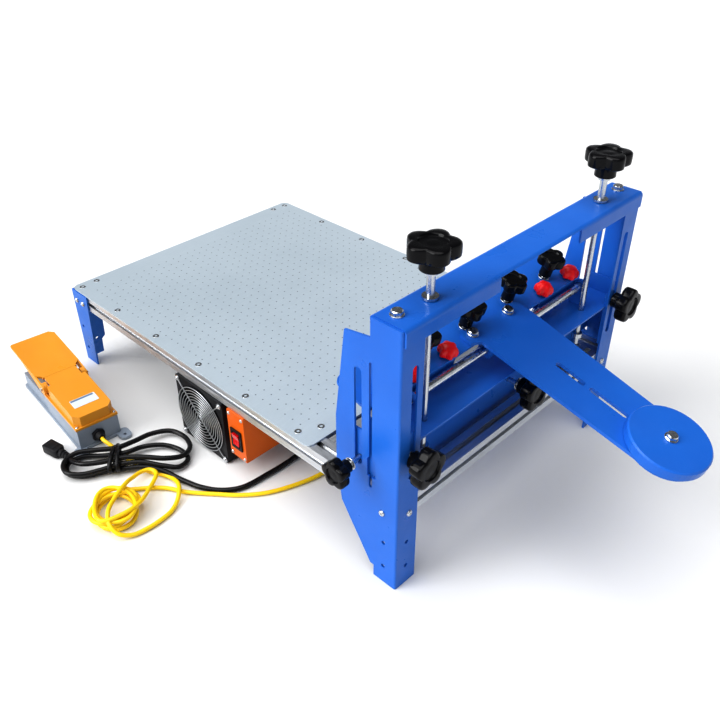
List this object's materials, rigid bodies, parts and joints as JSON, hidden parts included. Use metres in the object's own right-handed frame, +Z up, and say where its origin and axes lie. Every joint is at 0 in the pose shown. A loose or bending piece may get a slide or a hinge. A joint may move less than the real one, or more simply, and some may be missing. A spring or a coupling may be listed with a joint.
{
  "type": "screen printing press",
  "caption": "Tabletop vacuum screen-printing frame: perforated bed on extruded rails, gantry with screw-lifted tilting screen holder, counterweight, fan and foot pedal.",
  "frame": {"origin": "middle of the press's and pedal's joint footprint, on the surface they stand on", "axes": "+X across the gantry to the side away from the fan, +Y along the bed from the gantry to the operator's end, +Z up"},
  "size_m": [0.767, 1.0492, 0.4782],
  "materials": {
    "blue_paint": "gloss powder coat on folded sheet steel",
    "anodised_aluminium": "natural anodised extrusion",
    "bed_sheet": "fine satin perforated sheet",
    "galvanised_sheet": "galvanised sheet",
    "black_plastic": "fine matt moulding",
    "chrome_wire": "bright plated wire",
    "plated_steel": "bright zinc plated turned steel",
    "gloss_black_knob": "polished phenolic",
    "red_cap": "gloss moulding",
    "red_plastic": "translucent red rocker",
    "orange_paint": "satin powder coat",
    "pedal_orange": "gloss enamel on castings",
    "pedal_grey": "satin enamel on a casting",
    "black_cord": "satin PVC sheath",
    "black_plug": "moulded PVC",
    "yellow_cord": "satin PVC sheath"
  },
  "bodies": {
    "frame": {"bed_cross_rail": "anodised_aluminium", "bed_plate": "bed_sheet", "control_box": "orange_paint", "fan_duct": "galvanised_sheet", "fan_guard": "chrome_wire", "fan_housing": "black_plastic", "front_cross_rail": "anodised_aluminium", "left_front_leg": "blue_paint", "left_gantry_post": "blue_paint", "left_side_rail": "anodised_aluminium", "mains_hank": "black_cord", "mains_lead": "black_cord", "mains_plug": "black_plug", "pedal_base": "pedal_grey", "pedal_cord_box_end": "yellow_cord", "pedal_cord_bundle": "yellow_cord", "pedal_cord_pedal_end": "yellow_cord", "pedal_cover": "pedal_orange", "pedal_gland": "black_plastic", "pedal_pin": "plated_steel", "rear_cross_rail": "anodised_aluminium", "right_front_leg": "blue_paint", "right_gantry_post": "blue_paint", "right_side_rail": "anodised_aluminium", "switch_bezel": "black_plastic", "top_beam": "blue_paint", "vacuum_plenum": "galvanised_sheet"},
    "rotor": {"fan_rotor": "black_plastic"},
    "rocker": {"rocker_switch": "red_plastic"},
    "treadle": {"pedal_treadle": "pedal_orange"},
    "left_screw": {"left_lift_screw": "plated_steel", "left_lift_knob": "gloss_black_knob"},
    "right_screw": {"right_lift_screw": "plated_steel", "right_lift_knob": "gloss_black_knob"},
    "carriage": {"carriage": "blue_paint", "left_shaft_bracket": "blue_paint", "right_shaft_bracket": "blue_paint", "pivot_shaft": "plated_steel"},
    "print_head": {"head_plate": "blue_paint", "left_bearing_block": "blue_paint", "right_bearing_block": "blue_paint", "counterweight_arm": "blue_paint", "counterweight_disc": "blue_paint", "screen_holder": "blue_paint"},
    "clamp_bar": {"clamp_bar": "anodised_aluminium"},
    "clamp_knob_1": {"clamp_knob_1": "gloss_black_knob"},
    "level_screw_1": {"level_screw_1": "red_cap"},
    "clamp_knob_2": {"clamp_knob_2": "gloss_black_knob"},
    "level_screw_2": {"level_screw_2": "red_cap"},
    "clamp_knob_3": {"clamp_knob_3": "gloss_black_knob"},
    "level_screw_3": {"level_screw_3": "red_cap"},
    "clamp_knob_4": {"clamp_knob_4": "gloss_black_knob"},
    "level_screw_4": {"level_screw_4": "red_cap"},
    "left_side_knob": {"left_side_knob": "gloss_black_knob"},
    "right_side_knob": {"right_side_knob": "gloss_black_knob"},
    "left_rear_knob": {"left_rear_knob": "gloss_black_knob"},
    "centre_rear_knob": {"centre_rear_knob": "gloss_black_knob"},
    "right_rear_knob": {"right_rear_knob": "gloss_black_knob"}
  },
  "joints": [
    {"name": "left_screw_turn", "type": "hinge", "parent": "frame", "child": "left_screw", "pos_m": [-0.1209, -0.24088, 0.407], "axis": [0, 0, 1], "range_deg": [0, 12001]},
    {"name": "right_screw_turn", "type": "hinge", "parent": "frame", "child": "right_screw", "pos_m": [0.2351, -0.24088, 0.407], "axis": [0, 0, 1], "range_deg": [0, 12001]},
    {"name": "carriage_lift", "type": "slide", "parent": "frame", "child": "carriage", "axis": [0, 0, 1], "range_m": [0, 0.05]},
    {"name": "head_tilt", "type": "hinge", "parent": "carriage", "child": "print_head", "pos_m": [0.0571, -0.22688, 0.265], "axis": [1, 0, 0], "range_deg": [-15, 0]},
    {"name": "clamp_travel", "type": "slide", "parent": "print_head", "child": "clamp_bar", "axis": [0, -0.2588, 0.9659], "range_m": [-0.008, 0]},
    {"name": "fan_spin", "type": "hinge", "parent": "frame", "child": "rotor", "pos_m": [-0.1769, 0.14612, 0.0593], "axis": [1, 0, 0], "continuous": true},
    {"name": "rocker_tilt", "type": "hinge", "parent": "frame", "child": "rocker", "pos_m": [-0.1919, 0.05612, 0.07], "axis": [0, 1, 0], "range_deg": [0, 20]},
    {"name": "treadle_press", "type": "hinge", "parent": "frame", "child": "treadle", "pos_m": [-0.29278, 0.39259, 0.06], "axis": [0.9954, -0.0958, 0], "range_deg": [-10, 0], "stiffness_Nm_per_rad": 2, "springref_deg": 8.59},
    {"name": "clamp_knob_1_turn", "type": "hinge", "parent": "print_head", "child": "clamp_knob_1", "pos_m": [-0.0799, -0.20278, 0.31804], "axis": [0, -0.2588, 0.9659], "range_deg": [0, 2305]},
    {"name": "clamp_knob_2_turn", "type": "hinge", "parent": "print_head", "child": "clamp_knob_2", "pos_m": [0.0111, -0.20278, 0.31804], "axis": [0, -0.2588, 0.9659], "range_deg": [0, 2305]},
    {"name": "clamp_knob_3_turn", "type": "hinge", "parent": "print_head", "child": "clamp_knob_3", "pos_m": [0.1031, -0.20278, 0.31804], "axis": [0, -0.2588, 0.9659], "range_deg": [0, 2305]},
    {"name": "clamp_knob_4_turn", "type": "hinge", "parent": "print_head", "child": "clamp_knob_4", "pos_m": [0.1941, -0.20278, 0.31804], "axis": [0, -0.2588, 0.9659], "range_deg": [0, 2305]},
    {"name": "level_screw_1_turn", "type": "hinge", "parent": "print_head", "child": "level_screw_1", "pos_m": [-0.1149, -0.21563, 0.28872], "axis": [0, -0.2588, 0.9659], "range_deg": [-720, 720]},
    {"name": "level_screw_2_turn", "type": "hinge", "parent": "print_head", "child": "level_screw_2", "pos_m": [-0.0489, -0.21563, 0.28872], "axis": [0, -0.2588, 0.9659], "range_deg": [-720, 720]},
    {"name": "level_screw_3_turn", "type": "hinge", "parent": "print_head", "child": "level_screw_3", "pos_m": [0.1631, -0.21563, 0.28872], "axis": [0, -0.2588, 0.9659], "range_deg": [-720, 720]},
    {"name": "level_screw_4_turn", "type": "hinge", "parent": "print_head", "child": "level_screw_4", "pos_m": [0.2291, -0.21563, 0.28872], "axis": [0, -0.2588, 0.9659], "range_deg": [-720, 720]},
    {"name": "left_side_knob_turn", "type": "hinge", "parent": "carriage", "child": "left_side_knob", "pos_m": [-0.2279, -0.19888, 0.192], "axis": [-1, 0, 0], "range_deg": [0, 720]},
    {"name": "right_side_knob_turn", "type": "hinge", "parent": "carriage", "child": "right_side_knob", "pos_m": [0.3421, -0.19888, 0.192], "axis": [1, 0, 0], "range_deg": [0, 720]},
    {"name": "left_rear_knob_turn", "type": "hinge", "parent": "carriage", "child": "left_rear_knob", "pos_m": [-0.1689, -0.28488, 0.217], "axis": [0, -1, 0], "range_deg": [0, 720]},
    {"name": "centre_rear_knob_turn", "type": "hinge", "parent": "carriage", "child": "centre_rear_knob", "pos_m": [0.0571, -0.28488, 0.203], "axis": [0, -1, 0], "range_deg": [0, 720]},
    {"name": "right_rear_knob_turn", "type": "hinge", "parent": "carriage", "child": "right_rear_knob", "pos_m": [0.2831, -0.28488, 0.242], "axis": [0, -1, 0], "range_deg": [0, 720]}
  ],
  "couplings": [
    {"joint": "left_screw_turn", "follows": "carriage_lift", "rad_per_m": 4188.8},
    {"joint": "right_screw_turn", "follows": "carriage_lift", "rad_per_m": 4188.8},
    {"joint": "clamp_knob_1_turn", "follows": "clamp_travel", "rad_per_m": -5026.5},
    {"joint": "clamp_knob_2_turn", "follows": "clamp_travel", "rad_per_m": -5026.5},
    {"joint": "clamp_knob_3_turn", "follows": "clamp_travel", "rad_per_m": -5026.5},
    {"joint": "clamp_knob_4_turn", "follows": "clamp_travel", "rad_per_m": -5026.5}
  ]
}
